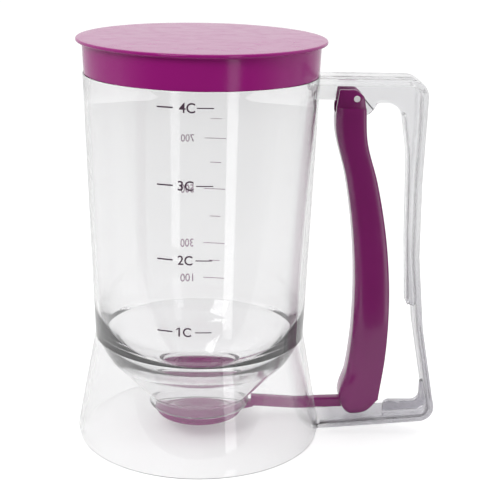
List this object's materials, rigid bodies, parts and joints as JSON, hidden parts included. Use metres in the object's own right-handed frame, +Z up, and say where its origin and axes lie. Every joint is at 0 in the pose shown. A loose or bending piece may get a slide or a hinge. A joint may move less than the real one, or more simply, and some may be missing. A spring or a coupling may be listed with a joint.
{
  "type": "pancake batter dispenser",
  "caption": "Clear plastic pancake batter dispenser with a purple press-on cap, a funnel bottom on an open stand, and a squeeze trigger that swings a valve cup off the outlet.",
  "frame": {"origin": "on the jug's axis, in the plane that the stand's foot rests on", "axes": "+Z up, +X from the jug's axis towards the handle and trigger, +Y across the handle, away from the front scale"},
  "size_m": [0.1682, 0.114, 0.185],
  "materials": {
    "clear_plastic": "clear glossy styrene",
    "purple_plastic": "smooth moulded, glossy",
    "purple_silicone": "soft satin silicone",
    "white_acetal": "smooth satin",
    "spring_steel": "drawn wire"
  },
  "bodies": {
    "vessel": {"jug_wall": "clear_plastic", "jug_funnel": "clear_plastic", "stand_skirt": "clear_plastic", "handle_flange": "clear_plastic", "handle_web": "clear_plastic", "grip_gusset": "clear_plastic", "pivot_pin": "white_acetal", "return_spring": "spring_steel"},
    "lid": {"lid_cap": "purple_plastic"},
    "trigger": {"trigger_lever": "purple_plastic", "valve_arm": "purple_plastic", "valve_cup": "purple_plastic", "valve_seal": "purple_silicone"}
  },
  "joints": [
    {"name": "trigger_hinge", "type": "hinge", "parent": "vessel", "child": "trigger", "pos_m": [0.0684, 0, 0.1598], "axis": [0, -1, 0], "range_deg": [0, 6], "stiffness_Nm_per_rad": 0.2, "springref_deg": -40.11, "deforming": ["return_spring"]},
    {"name": "lid_lift", "type": "slide", "parent": "vessel", "child": "lid", "axis": [0, 0, 1], "range_m": [0, 0.06]}
  ]
}
